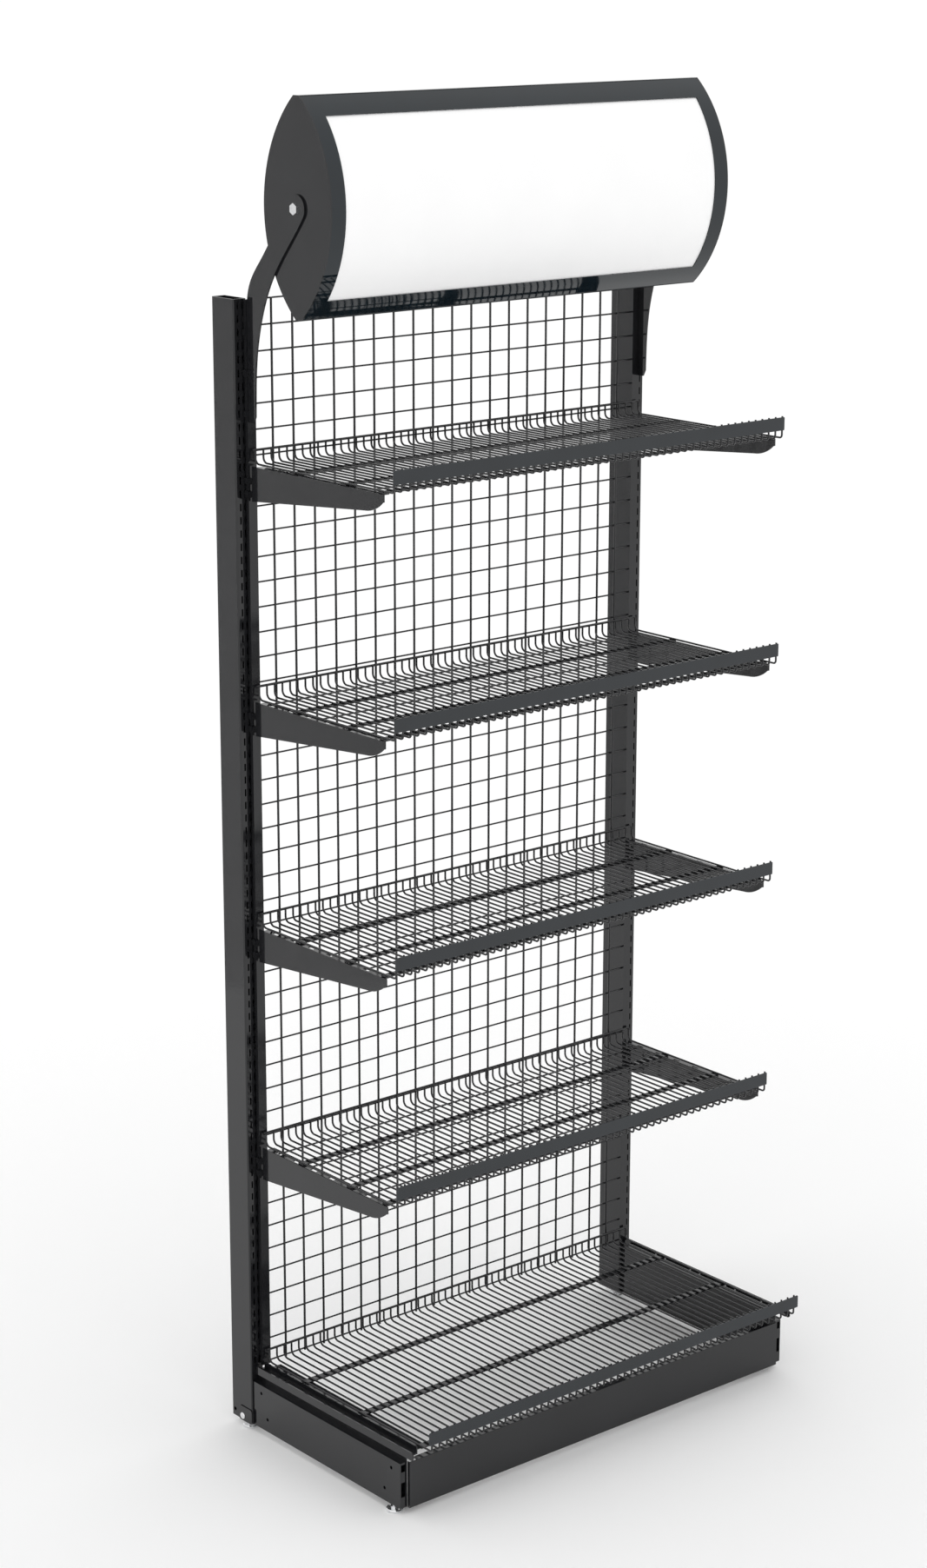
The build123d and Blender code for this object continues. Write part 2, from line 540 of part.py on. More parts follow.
# ---- sign canopy -------------------------------------------------------------
half_h = SIGN_HEIGHT / 2
half_d = SIGN_DEPTH / 2
half_f = SIGN_FLAT / 2
SAG = half_d - half_f
LENS_R = (half_h**2 + SAG**2) / (2 * SAG)
SIGN_Y = ahead(SIGN_AHEAD)
FRONT_ARC_Y = SIGN_Y - half_d + LENS_R      # centre of the front arc
REAR_ARC_Y = SIGN_Y + half_d - LENS_R


with BuildPart() as sign_end_right:
    end_plane = Plane(origin=(SIGN_HALF - SIGN_END_THICK, 0, 0), x_dir=(0, 1, 0),
                      z_dir=(1, 0, 0))
    with BuildSketch(end_plane):
        with BuildLine():
            Line((SIGN_Y - half_f, SIGN_Z + half_h), (SIGN_Y + half_f, SIGN_Z + half_h))
            ThreePointArc((SIGN_Y + half_f, SIGN_Z + half_h), (SIGN_Y + half_d, SIGN_Z),
                          (SIGN_Y + half_f, SIGN_Z - half_h))
            Line((SIGN_Y + half_f, SIGN_Z - half_h), (SIGN_Y - half_f, SIGN_Z - half_h))
            ThreePointArc((SIGN_Y - half_f, SIGN_Z - half_h), (SIGN_Y - half_d, SIGN_Z),
                          (SIGN_Y - half_f, SIGN_Z + half_h))
        make_face()
        with Locations((SIGN_Y, SIGN_Z)):
            Circle(PIVOT_R + PIVOT_FIT, mode=Mode.SUBTRACT)
    extrude(amount=SIGN_END_THICK)
sign_end_left = mirrored(sign_end_right)

SIGN_INNER = SIGN_HALF - SIGN_END_THICK
WINDOW_HALF = SIGN_HALF - SIGN_SIDE_BORDER


def curved_sheet(arc_y, outer_r, thickness, half_width, half_height, facing):
    """Sheet bent to the lens; facing is -1 for the front and 1 for the rear."""
    inner_r = outer_r - thickness
    outer_y = arc_y + facing * (outer_r**2 - half_height**2) ** 0.5
    inner_y = arc_y + facing * (inner_r**2 - half_height**2) ** 0.5
    low_z, high_z = SIGN_Z - half_height, SIGN_Z + half_height
    with BuildPart() as sheet:
        sheet_plane = Plane(origin=(-half_width, 0, 0), x_dir=(0, 1, 0), z_dir=(1, 0, 0))
        with BuildSketch(sheet_plane):
            with BuildLine():
                ThreePointArc((outer_y, low_z), (arc_y + facing * outer_r, SIGN_Z),
                              (outer_y, high_z))
                Line((outer_y, high_z), (inner_y, high_z))
                ThreePointArc((inner_y, high_z), (arc_y + facing * inner_r, SIGN_Z),
                              (inner_y, low_z))
                Line((inner_y, low_z), (outer_y, low_z))
            make_face()
        extrude(amount=2 * half_width)
    return sheet


FRAME_HALF_HEIGHT = half_h - SIGN_SHEET


def sign_frame(arc_y, facing):
    """Curved border sheet with one large window."""
    full_sheet = curved_sheet(arc_y, LENS_R, SIGN_SHEET, SIGN_INNER, FRAME_HALF_HEIGHT, facing)
    with BuildPart() as frame:
        add(full_sheet.part)
        with Locations((0, SIGN_Y + facing * half_d, SIGN_Z)):
            Box(2 * WINDOW_HALF, SIGN_DEPTH - 4, SIGN_WINDOW_HEIGHT, mode=Mode.SUBTRACT)
    return frame


def sign_panel(arc_y, facing):
    """Curved graphic panel held behind the border."""
    return curved_sheet(arc_y, LENS_R - SIGN_SHEET, SIGN_PANEL, WINDOW_HALF + SIGN_PANEL_LAP,
                        SIGN_WINDOW_HEIGHT / 2 + SIGN_PANEL_LAP, facing)


sign_frame_front = sign_frame(FRONT_ARC_Y, -1)
sign_frame_rear = sign_frame(REAR_ARC_Y, 1)
sign_panel_front = sign_panel(FRONT_ARC_Y, -1)
sign_panel_rear = sign_panel(REAR_ARC_Y, 1)


def sign_rail(z_low):
    """Flat rail that closes the lens between the two end plates."""
    with BuildPart() as rail:
        with Locations((0, SIGN_Y, z_low + SIGN_SHEET / 2)):
            Box(2 * SIGN_INNER, SIGN_FLAT, SIGN_SHEET)
    return rail


sign_rail_top = sign_rail(SIGN_Z + half_h - SIGN_SHEET)
sign_rail_bottom = sign_rail(SIGN_Z - half_h)

# ---- sign arms ---------------------------------------------------------------
ARM_X = SIGN_HALF + ARM_GAP
ARM_LOW = UPRIGHT_TOP - ARM_DROP
with BuildPart() as arm_right:
    arm_plane = Plane(origin=(ARM_X, 0, 0), x_dir=(0, 1, 0), z_dir=(1, 0, 0))
    head_rear = (SIGN_Y + 0.8 * ARM_HEAD_R, SIGN_Z + 0.6 * ARM_HEAD_R)
    head_front = (SIGN_Y - 0.8 * ARM_HEAD_R, SIGN_Z - 0.6 * ARM_HEAD_R)
    with BuildSketch(arm_plane):
        with BuildLine():
            Line((ahead(ARM_REAR), ARM_LOW), (ahead(ARM_REAR), UPRIGHT_TOP - 14))
            Spline((ahead(ARM_REAR), UPRIGHT_TOP - 14), (ahead(56), UPRIGHT_TOP + 75),
                   head_rear, tangents=((0, 1), (-0.6, 0.8)))
            ThreePointArc(head_rear, (SIGN_Y - 0.6 * ARM_HEAD_R, SIGN_Z + 0.8 * ARM_HEAD_R),
                          head_front)
            Spline(head_front, (ahead(88), UPRIGHT_TOP + 38), (ahead(41), UPRIGHT_TOP - 92),
                   (ahead(33), ARM_LOW + 12), tangents=((0.6, -0.8), (0.02, -1)))
            Line((ahead(33), ARM_LOW + 12), (ahead(27), ARM_LOW))
            Line((ahead(27), ARM_LOW), (ahead(ARM_REAR), ARM_LOW))
        make_face()
        with Locations((SIGN_Y, SIGN_Z)):
            Circle(PIVOT_R, mode=Mode.SUBTRACT)
    extrude(amount=ARM_THICK)
    for number in ARM_HOOKS:
        z = slot_z(number)
        block(ARM_X, INNER_SLOT_X + HOOK_THICK / 2, ARM_REAR + HOOK_THICK, ARM_REAR,
              z - HOOK_HEIGHT / 2, z + HOOK_HEIGHT / 2)
        hook(INNER_SLOT_X, ARM_REAR + HOOK_THICK, z)
arm_left = mirrored(arm_right)

with BuildPart() as pivot_bolts:
    for side in (1, -1):
        outer_plane = Plane(origin=(side * (ARM_X + ARM_THICK), SIGN_Y, SIGN_Z),
                            z_dir=(side, 0, 0))
        with BuildSketch(outer_plane):
            RegularPolygon(PIVOT_HEAD_R, 6)
        extrude(amount=5.5)
        with BuildSketch(outer_plane):
            Circle(PIVOT_R)
        extrude(amount=-(ARM_THICK + ARM_GAP + SIGN_END_THICK + 8))
        nut_x = SIGN_HALF - SIGN_END_THICK - 0.6
        nut_plane = Plane(origin=(side * nut_x, SIGN_Y, SIGN_Z), z_dir=(-side, 0, 0))
        with BuildSketch(nut_plane):
            RegularPolygon(PIVOT_NUT_R, 6)
        extrude(amount=6.0)

# ---- export -------------------------------------------------------------------
pieces = {
    "upright_left": upright_left,
    "upright_right": upright_right,
    "mesh_columns": mesh_columns,
    "mesh_rows": mesh_rows,
    "mesh_bar_left": mesh_bar_left,
    "mesh_bar_right": mesh_bar_right,
    "deck_floor_base": base_floor,
    "deck_back_base": base_back,
    "ticket_strip_base": base_strip,
    "leg_left": leg_left,
    "leg_right": leg_right,
    "base_rail_left": base_rail_left,
    "base_rail_right": base_rail_right,
    "rail_lip_left": rail_lip_left,
    "rail_lip_right": rail_lip_right,
    "kick_plate": kick_plate,
    "foot_insert_left": foot_insert_left,
    "foot_insert_right": foot_insert_right,
    "foot_rear_left": foot_rear_left,
    "foot_rear_right": foot_rear_right,
    "foot_front_left": foot_front_left,
    "foot_front_right": foot_front_right,
    "side_plate_left": side_plate_left,
    "side_plate_right": side_plate_right,
    "foot_screws": foot_screws,
    "sign_end_left": sign_end_left,
    "sign_end_right": sign_end_right,
    "sign_frame_front": sign_frame_front,
    "sign_frame_rear": sign_frame_rear,
    "sign_panel_front": sign_panel_front,
    "sign_panel_rear": sign_panel_rear,
    "sign_rail_top": sign_rail_top,
    "sign_rail_bottom": sign_rail_bottom,
    "arm_left": arm_left,
    "arm_right": arm_right,
    "pivot_bolts": pivot_bolts,
}
for index in range(SHELF_COUNT):
    pieces[f"bracket_left_{index + 1}"] = brackets_left[index]
    pieces[f"bracket_right_{index + 1}"] = brackets_right[index]
    pieces[f"deck_floor_{index + 1}"] = floors[index]
    pieces[f"deck_back_{index + 1}"] = backs[index]
    pieces[f"ticket_strip_{index + 1}"] = strips[index]
for name, piece in pieces.items():
    piece.part.label = name
    export_step(piece.part, f"parts/{name}.step")
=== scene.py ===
# %% [markdown]
# # A wire gondola bay
# The bay is a pair of slotted uprights with a welded mesh between them, four wire
# decks on hooked brackets, a low base with a kick plate, and a lens-shaped sign on
# two arms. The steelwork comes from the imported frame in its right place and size.
# This script dresses it with powder coat, zinc plate, white sign sheets and softened
# edges. The wires, the flat bars under the decks and the ticket strips are drawn
# again as smooth pieces, weld nuggets are added, and a pale floor and soft light are
# set round the bay. Lengths are in metres; lens, sensor and grain sizes are in
# millimetres.

# %% Load the frame
import json
import math

import bmesh
import bpy
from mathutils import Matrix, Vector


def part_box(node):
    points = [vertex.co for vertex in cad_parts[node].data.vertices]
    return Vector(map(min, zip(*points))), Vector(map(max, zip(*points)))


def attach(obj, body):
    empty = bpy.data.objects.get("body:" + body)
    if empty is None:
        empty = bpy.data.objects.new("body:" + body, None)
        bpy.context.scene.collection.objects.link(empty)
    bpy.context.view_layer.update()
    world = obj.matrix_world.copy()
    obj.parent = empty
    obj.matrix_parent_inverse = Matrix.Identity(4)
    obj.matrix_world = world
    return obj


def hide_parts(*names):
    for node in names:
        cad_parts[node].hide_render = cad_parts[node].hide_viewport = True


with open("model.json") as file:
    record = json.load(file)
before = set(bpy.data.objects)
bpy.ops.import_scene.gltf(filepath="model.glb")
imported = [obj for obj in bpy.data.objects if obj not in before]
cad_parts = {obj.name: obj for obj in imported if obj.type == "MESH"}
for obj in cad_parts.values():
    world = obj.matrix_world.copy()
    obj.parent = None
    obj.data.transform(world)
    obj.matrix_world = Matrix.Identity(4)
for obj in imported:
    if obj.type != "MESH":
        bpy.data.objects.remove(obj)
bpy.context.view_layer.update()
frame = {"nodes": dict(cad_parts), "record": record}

# %% [markdown]
# ## Camera
# The bay is seen from its left front, from a little higher than the sign. A long lens
# keeps the two uprights nearly parallel. The camera has no roll: only its heading and
# its tilt are set, so verticals lean only as much as the tilt makes them.

# %% Camera
CAMERA_PLACE = (-4.0172, -4.5937, 2.9567)
CAMERA_HEADING = 39.7686       # degrees from +Y towards +X
CAMERA_TILT = -15.1315         # degrees above the horizon
CAMERA_LENS = 74.4386
CAMERA_SHIFT = 0.0090
SENSOR_WIDTH = 36.0            # millimetres, like the lens
VIEW_END = 500.0

camera_data = bpy.data.cameras.new("camera")
camera_data.lens = CAMERA_LENS
camera_data.sensor_width = SENSOR_WIDTH
camera_data.shift_x = CAMERA_SHIFT
camera_data.clip_end = VIEW_END
camera = bpy.data.objects.new("camera", camera_data)
camera.location = CAMERA_PLACE
camera.rotation_euler = (math.radians(90 + CAMERA_TILT), 0,
                         -math.radians(CAMERA_HEADING))
bpy.context.scene.collection.objects.link(camera)
bpy.context.scene.camera = camera
print("camera at", CAMERA_PLACE, "lens", CAMERA_LENS)

# %% [markdown]
# ## Node helpers
# Every finish here is a small node tree around one Principled shader. The helpers
# keep the trees short: one adds a node, one adds a noise that is measured in real
# millimetres. The noise runs on object coordinates, which are metres here, so a grain
# of 1 mm is a scale of 1000 whatever piece it falls on. A noise rarely leaves the
# middle of its range, so only the part between NOISE_LOW and NOISE_HIGH is used.

# %% Node helpers
NOISE_LOW, NOISE_HIGH = 0.3, 0.7


def add_node(tree, kind, **settings):
    """Adds one shader node and sets its plain properties."""
    node = tree.nodes.new(kind)
    for key, value in settings.items():
        setattr(node, key, value)
    return node


def grain(tree, size_mm, detail=2.0, stretch=(1, 1, 1)):
    """Noise with features of about size_mm, on object coordinates."""
    place = add_node(tree, "ShaderNodeTexCoord")
    squeeze = add_node(tree, "ShaderNodeMapping")
    squeeze.inputs["Scale"].default_value = stretch
    noise = add_node(tree, "ShaderNodeTexNoise")
    noise.inputs["Scale"].default_value = 1000 / size_mm
    noise.inputs["Detail"].default_value = detail
    tree.links.new(place.outputs["Object"], squeeze.inputs["Vector"])
    tree.links.new(squeeze.outputs["Vector"], noise.inputs["Vector"])
    return noise.outputs["Fac"]


def spread(tree, source, low, high):
    """Turns a noise into numbers from low to high."""
    span = add_node(tree, "ShaderNodeMapRange")
    span.inputs["From Min"].default_value = NOISE_LOW
    span.inputs["From Max"].default_value = NOISE_HIGH
    span.inputs["To Min"].default_value = low
    span.inputs["To Max"].default_value = high
    tree.links.new(source, span.inputs["Value"])
    return span.outputs["Result"]


def tint(tree, source, dark, light):
    """Turns a noise into a colour between two near shades."""
    ramp = add_node(tree, "ShaderNodeValToRGB")
    ramp.color_ramp.elements[0].position = NOISE_LOW
    ramp.color_ramp.elements[1].position = NOISE_HIGH
    ramp.color_ramp.elements[0].color = (*dark, 1)
    ramp.color_ramp.elements[1].color = (*light, 1)
    tree.links.new(source, ramp.inputs["Fac"])
    return ramp.outputs["Color"]


def new_finish(name):
    """An empty material with one Principled shader."""
    finish = bpy.data.materials.new(name)
    finish.use_nodes = True
    return finish, finish.node_tree, finish.node_tree.nodes["Principled BSDF"]


print("helpers ready")

# %% [markdown]
# ## Powder coat
# The steel is sprayed with dry graphite powder and baked to a full gloss. What the
# eye reads is not the grey itself, which is almost black, but the pale room mirrored
# in the thin clear skin of the coat: a few parts in a hundred head on, more at a
# glance. So the base colour is very dark, the roughness is low, and neighbouring
# steel shows as sharp dark reflections. Baked powder is never quite flat: a ripple of
# a few millimetres, called orange peel, bends those reflections a little, and
# handling leaves faint dull patches. The ticket strips and the frames and rails of
# the sign have more blue in them. A plain uniform grey would be simpler but reads as
# plastic in close view.

# %% Powder coat
CLOUD_MM, DULL_PATCH_MM, PEEL_MM = 70.0, 22.0, 2.6
CLOUD_DARKER, CLOUD_LIGHTER = 0.86, 1.14
PEEL_DEPTH = 0.0001


def powder_coat(name, shade, gloss, peel):
    """Dark baked powder of one base shade.

    gloss is a (low, high) roughness and peel the strength of the orange peel.
    """
    finish, tree, shader = new_finish(name)
    cloud = grain(tree, CLOUD_MM, 3.0)
    darker = tuple(CLOUD_DARKER * part for part in shade)
    lighter = tuple(CLOUD_LIGHTER * part for part in shade)
    tree.links.new(tint(tree, cloud, darker, lighter), shader.inputs["Base Color"])
    dull_patch = grain(tree, DULL_PATCH_MM, 3.0)
    tree.links.new(spread(tree, dull_patch, *gloss), shader.inputs["Roughness"])
    shader.inputs["Specular IOR Level"].default_value = 0.5
    shader.inputs["IOR"].default_value = 1.5
    if peel:
        ripple = add_node(tree, "ShaderNodeBump")
        ripple.inputs["Strength"].default_value = peel
        ripple.inputs["Distance"].default_value = PEEL_DEPTH
        tree.links.new(grain(tree, PEEL_MM, 1.0), ripple.inputs["Height"])
        tree.links.new(ripple.outputs["Normal"], shader.inputs["Normal"])
    return finish


GRAPHITE = (0.0105, 0.0108, 0.0122)
STRIP_GRAPHITE = (0.0105, 0.0140, 0.0175)
SIGN_GRAPHITE = (0.0030, 0.0080, 0.0120)
upright_coat = powder_coat("powder_coat_steelwork", GRAPHITE, (0.05, 0.09), 0.05)
bracket_coat = powder_coat("powder_coat_brackets", GRAPHITE, (0.07, 0.12), 0.06)
wire_coat = powder_coat("powder_coat_wire", GRAPHITE, (0.10, 0.18), 0.0)
mesh_coat = powder_coat("powder_coat_mesh", GRAPHITE, (0.10, 0.18), 0.0)
strip_coat = powder_coat("powder_coat_strips", STRIP_GRAPHITE, (0.07, 0.12), 0.05)
sign_coat = powder_coat("powder_coat_sign", SIGN_GRAPHITE, (0.03, 0.06), 0.03)
print("six powder coats, base shade", GRAPHITE)

# %% [markdown]
# ## Zinc plate
# Feet, screws and pivot bolts are left in bright zinc. It is a metal, so the colour
# sits in the reflection. A fine turned grain and slightly cloudy patches keep it from
# looking like chrome.

# %% Zinc plate
def zinc_plate():
    """Bright zinc on turned steel."""
    finish, tree, shader = new_finish("bright_zinc")
    shader.inputs["Metallic"].default_value = 1.0
    cloud = grain(tree, 6.0, 3.0)
    tree.links.new(tint(tree, cloud, (0.74, 0.75, 0.76), (0.88, 0.88, 0.89)),
                   shader.inputs["Base Color"])
    tree.links.new(spread(tree, grain(tree, 1.5), 0.14, 0.28),
                   shader.inputs["Roughness"])
    turned = add_node(tree, "ShaderNodeBump")
    turned.inputs["Strength"].default_value = 0.12
    turned.inputs["Distance"].default_value = 0.00008
    tree.links.new(grain(tree, 0.9, 1.0, (1, 1, 6)), turned.inputs["Height"])
    tree.links.new(turned.outputs["Normal"], shader.inputs["Normal"])
    return finish


zinc = zinc_plate()
print("zinc ready")

# %% [markdown]
# ## Sign sheet
# The sign holds two bent sheets of opaque white plastic, left blank. The surface is a
# soft satin with a very faint cloudiness, so it stays white without going flat.

# %% Sign sheet
def sign_sheet():
    """Opaque white sheet with a satin face."""
    finish, tree, shader = new_finish("white_sign_sheet")
    cloud = grain(tree, 120.0, 2.0)
    tree.links.new(tint(tree, cloud, (0.97, 0.97, 0.97), (0.99, 0.99, 0.99)),
                   shader.inputs["Base Color"])
    tree.links.new(spread(tree, grain(tree, 4.0), 0.38, 0.46),
                   shader.inputs["Roughness"])
    film = add_node(tree, "ShaderNodeBump")
    film.inputs["Strength"].default_value = 0.03
    film.inputs["Distance"].default_value = 0.0001
    tree.links.new(grain(tree, 3.0), film.inputs["Height"])
    tree.links.new(film.outputs["Normal"], shader.inputs["Normal"])
    return finish


white_sheet = sign_sheet()
print("sign sheet ready")

# %% [markdown]
# ## Dress the frame
# Each node of the frame says in the record which finish it takes. The real pieces
# leave the paint line with soft edges, because powder rounds every cut edge, and
# those edges are what catches the light. A narrow bevel with hardened normals gives
# each folded or cut piece that thin bright line and leaves its size alone. The
# uprights go without: each has 180 punched slots with crisp edges, which a bevel
# would only blur. The end plates of the sign take the plain graphite of the uprights.
# The wires are made afresh further down.

# %% Dress the frame
FINISH_OF_SLOT = {
    "frame_paint": upright_coat,
    "mesh_paint": mesh_coat,
    "bracket_paint": bracket_coat,
    "wire_paint": wire_coat,
    "strip_paint": strip_coat,
    "sign_paint": sign_coat,
    "sign_panel": white_sheet,
    "zinc": zinc,
}
EDGE_WIDTH = 0.0005
SHARP_ANGLE = 50               # degrees; only sharper edges are softened
NO_EDGES = ("deck_floor", "deck_back", "mesh_columns", "mesh_rows", "ticket_strip",
            "upright")
slot_of_node = {row["node"]: row["material_slot"]
                for row in frame["record"]["subparts"]}


def soften_edges(piece, width):
    """A narrow bevel on sharp edges only."""
    bevel = piece.modifiers.new("soft_edges", "BEVEL")
    bevel.width = width
    bevel.segments = 2
    bevel.limit_method = "ANGLE"
    bevel.angle_limit = math.radians(SHARP_ANGLE)
    bevel.harden_normals = True
    bevel.use_clamp_overlap = True


softened = 0
for node_name, node in frame["nodes"].items():
    finish = FINISH_OF_SLOT[slot_of_node[node_name]]
    if node_name.startswith("sign_end"):
        finish = upright_coat
    for material_slot in node.material_slots:
        material_slot.material = finish
    if not node_name.startswith(NO_EDGES):
        soften_edges(node, EDGE_WIDTH)
        softened += 1
print("dressed", len(frame["nodes"]), "nodes, softened", softened)

# %% [markdown]
# ## Round wire
# The mesh back and the decks are drawn wire, cut, bent and spot-welded. The frame
# holds them as faceted rods, which is enough to collide with but not to look at, so
# here each wire is drawn again along its own centre line with a round section and
# takes the place of the faceted one. One curve object holds all the wires of a panel:
# that is how the panel is made too, in one weld jig, and it keeps the count of pieces
# low. Separate objects for more than 330 wires would be slower and no truer.

# %% Round wire
def wire_panel(name, runs, wire_radius, finish):
    """One curve object; runs are (points, radius) centre lines in metres."""
    data = bpy.data.curves.new(name, "CURVE")
    data.dimensions = "3D"
    data.bevel_depth = wire_radius
    data.bevel_resolution = 4
    data.use_fill_caps = True
    for points, radius in runs:
        line = data.splines.new("POLY")
        line.points.add(len(points) - 1)
        for point, place in zip(line.points, points):
            point.co = (*place, 1)
            point.radius = radius / wire_radius
        line.use_smooth = True
    data.materials.append(finish)
    panel = bpy.data.objects.new(name, data)
    bpy.context.scene.collection.objects.link(panel)
    return panel


def evenly(first, last, count):
    """Evenly spaced values, both ends included."""
    return [first + (last - first) * step / (count - 1) for step in range(count)]


def bend(centre, radius, start, end, steps=7):
    """Points (y, z) round a quarter bend, angles in degrees."""
    angles = [math.radians(angle) for angle in evenly(start, end, steps)]
    return [(centre[0] + radius * math.cos(a), centre[1] + radius * math.sin(a))
            for a in angles]


def add_piece(piece, body, paint_slot, *stands_for):
    """Hangs a new piece on a body and hides the frame nodes it stands for."""
    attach(piece, body)
    if stands_for:
        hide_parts(*stands_for)


MESH_COLUMNS, MESH_ROWS = 19, 45
COLUMN_RADIUS, ROW_RADIUS = 0.00225, 0.00175
column_low, column_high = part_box("mesh_columns")
row_low, row_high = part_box("mesh_rows")
column_x = evenly(column_low[0] + COLUMN_RADIUS, column_high[0] - COLUMN_RADIUS,
                  MESH_COLUMNS)
row_z = evenly(row_low[2] + ROW_RADIUS, row_high[2] - ROW_RADIUS, MESH_ROWS)
column_y = (column_low[1] + column_high[1]) / 2
row_y = (row_low[1] + row_high[1]) / 2
columns = wire_panel("mesh_column_wires",
                     [([(x, column_y, column_low[2]), (x, column_y, column_high[2])],
                       COLUMN_RADIUS) for x in column_x], COLUMN_RADIUS, mesh_coat)
rows = wire_panel("mesh_row_wires",
                  [([(row_low[0], row_y, z), (row_high[0], row_y, z)], ROW_RADIUS)
                   for z in row_z], ROW_RADIUS, mesh_coat)
add_piece(columns, "frame", "mesh_paint", "mesh_columns")
add_piece(rows, "frame", "mesh_paint", "mesh_rows")
print("mesh", len(column_x), "columns", len(row_z), "rows, pitch",
      round(column_x[1] - column_x[0], 4), round(row_z[1] - row_z[0], 4))

# %% [markdown]
# ## Wire decks
# Each of the 54 deck wires is one length: it stands up behind to meet a thicker rail,
# runs forward under the goods, and turns up in front to carry the ticket strip. Flat
# bars welded underneath tie the wires together. The strip is a plain flat with
# clipped corners. All four upper decks are the same part on different levels and the
# base deck is the same part made deeper, so one recipe makes the five from their own
# boxes.

# %% Wire decks
DECK_WIRES = 54
WIRE_RADIUS, RAIL_RADIUS = 0.00195, 0.0025
WELD_SINK = 0.0003             # how far two welded pieces sink into each other
RAIL_PAST = 0.004              # how far the rear rail reaches past the last wire
REAR_BEND, FRONT_BEND = 0.011, 0.006
STRIP_THICK, STRIP_HEIGHT, STRIP_CORNER = 0.002, 0.026, 0.002
STRIP_DROP = 0.0015            # how far the strip stays below the wire ends
BAR_WIDTH, BAR_THICK = 0.016, 0.003
RISER_AHEAD = 0.020            # how far the rear risers stand ahead of the uprights
UPPER_BARS_AHEAD = (0.1342, 0.2858, 0.395)    # bars ahead of the uprights' face
BASE_BARS_AHEAD = (0.1335, 0.3151, 0.494)
FLAT_EDGE = 0.0004


def flat_piece(name, low, high, corner, finish):
    """A flat bar or plate; corner rounds the corners of its face towards -Y."""
    block = bmesh.new()
    bmesh.ops.create_cube(block, size=1.0)
    middle = [(a + b) / 2 for a, b in zip(low, high)]
    size = [b - a for a, b in zip(low, high)]
    for vertex in block.verts:
        vertex.co = [m + s * c for m, s, c in zip(middle, size, vertex.co)]
    if corner:
        through_edges = [edge for edge in block.edges
                         if abs(edge.verts[0].co.y - edge.verts[1].co.y)
                         > 0.9 * size[1]]
        bmesh.ops.bevel(block, geom=through_edges, offset=corner, segments=5,
                        affect="EDGES", profile=0.5)
    sheet = bpy.data.meshes.new(name)
    block.to_mesh(sheet)
    block.free()
    piece = bpy.data.objects.new(name, sheet)
    bpy.context.scene.collection.objects.link(piece)
    sheet.materials.append(finish)
    soften_edges(piece, FLAT_EDGE)
    return piece


def make_deck(tag):
    """Makes one deck and tells where its wires and bars cross."""
    floor_node, back_node = f"deck_floor_{tag}", f"deck_back_{tag}"
    strip_node, body = f"ticket_strip_{tag}", f"deck_{tag}"
    floor_low, floor_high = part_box(floor_node)
    back_low, back_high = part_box(back_node)
    strip_low, strip_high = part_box(strip_node)
    reach = back_high[0] - RAIL_PAST
    rail_y, rail_z = back_high[1] - RAIL_RADIUS, back_high[2] - RAIL_RADIUS
    rear_y = rail_y - WIRE_RADIUS - RAIL_RADIUS + WELD_SINK
    wire_z = back_low[2] + WIRE_RADIUS
    front_y = strip_low[1] + STRIP_THICK + WIRE_RADIUS - WELD_SINK
    side = [(rear_y, rail_z)]
    side += bend((rear_y - REAR_BEND, wire_z + REAR_BEND), REAR_BEND, 0, -90)
    side += bend((front_y + FRONT_BEND, wire_z + FRONT_BEND), FRONT_BEND, -90, -180)
    side += [(front_y, strip_high[2])]
    wires_x = evenly(-reach, reach, DECK_WIRES)
    runs = [([(x, y, z) for y, z in side], WIRE_RADIUS) for x in wires_x]
    runs.append(([(back_low[0], rail_y, rail_z), (back_high[0], rail_y, rail_z)],
                 RAIL_RADIUS))
    wires = wire_panel(f"deck_wires_{tag}", runs, WIRE_RADIUS, wire_coat)
    add_piece(wires, body, "wire_paint", floor_node, back_node)
    face_y = rear_y + RISER_AHEAD
    bars_ahead = BASE_BARS_AHEAD if tag == "base" else UPPER_BARS_AHEAD
    bars_y = [face_y - ahead for ahead in bars_ahead]
    bar_top = floor_low[2] + BAR_THICK
    for number, bar_y in enumerate(bars_y, start=1):
        bar = flat_piece(f"deck_bar_{tag}_{number}",
                         (floor_low[0], bar_y - BAR_WIDTH / 2, floor_low[2]),
                         (floor_high[0], bar_y + BAR_WIDTH / 2, bar_top),
                         0, wire_coat)
        add_piece(bar, body, "wire_paint")
    strip_top = strip_high[2] - STRIP_DROP
    strip = flat_piece(f"strip_{tag}",
                       (strip_low[0], strip_low[1], strip_top - STRIP_HEIGHT),
                       (strip_high[0], strip_low[1] + STRIP_THICK, strip_top),
                       STRIP_CORNER, strip_coat)
    add_piece(strip, body, "strip_paint", strip_node)
    return wires_x, bars_y, bar_top


deck_crossings = {tag: make_deck(tag) for tag in ("1", "2", "3", "4", "base")}
for tag, (wires_x, bars_y, bar_top) in deck_crossings.items():
    print("deck", tag, "wires", len(wires_x), "bars", len(bars_y),
          "bar top", round(bar_top, 4))

# %% [markdown]
# ## Weld nuggets
# Resistance welds squeeze a little metal out where two wires cross, and the powder
# rounds it into a small bead. The beads are what makes the crossings look joined
# rather than stacked, so each crossing in the mesh, and of each deck wire with a flat
# bar, gets one. They are copies of one small ball, gathered in a single mesh for each
# panel.

# %% Weld nuggets
MESH_BEAD = (0.0018, 0.0014, 0.0018)    # half-widths along x, y and z
DECK_BEAD = (0.0022, 0.0040, 0.0008)


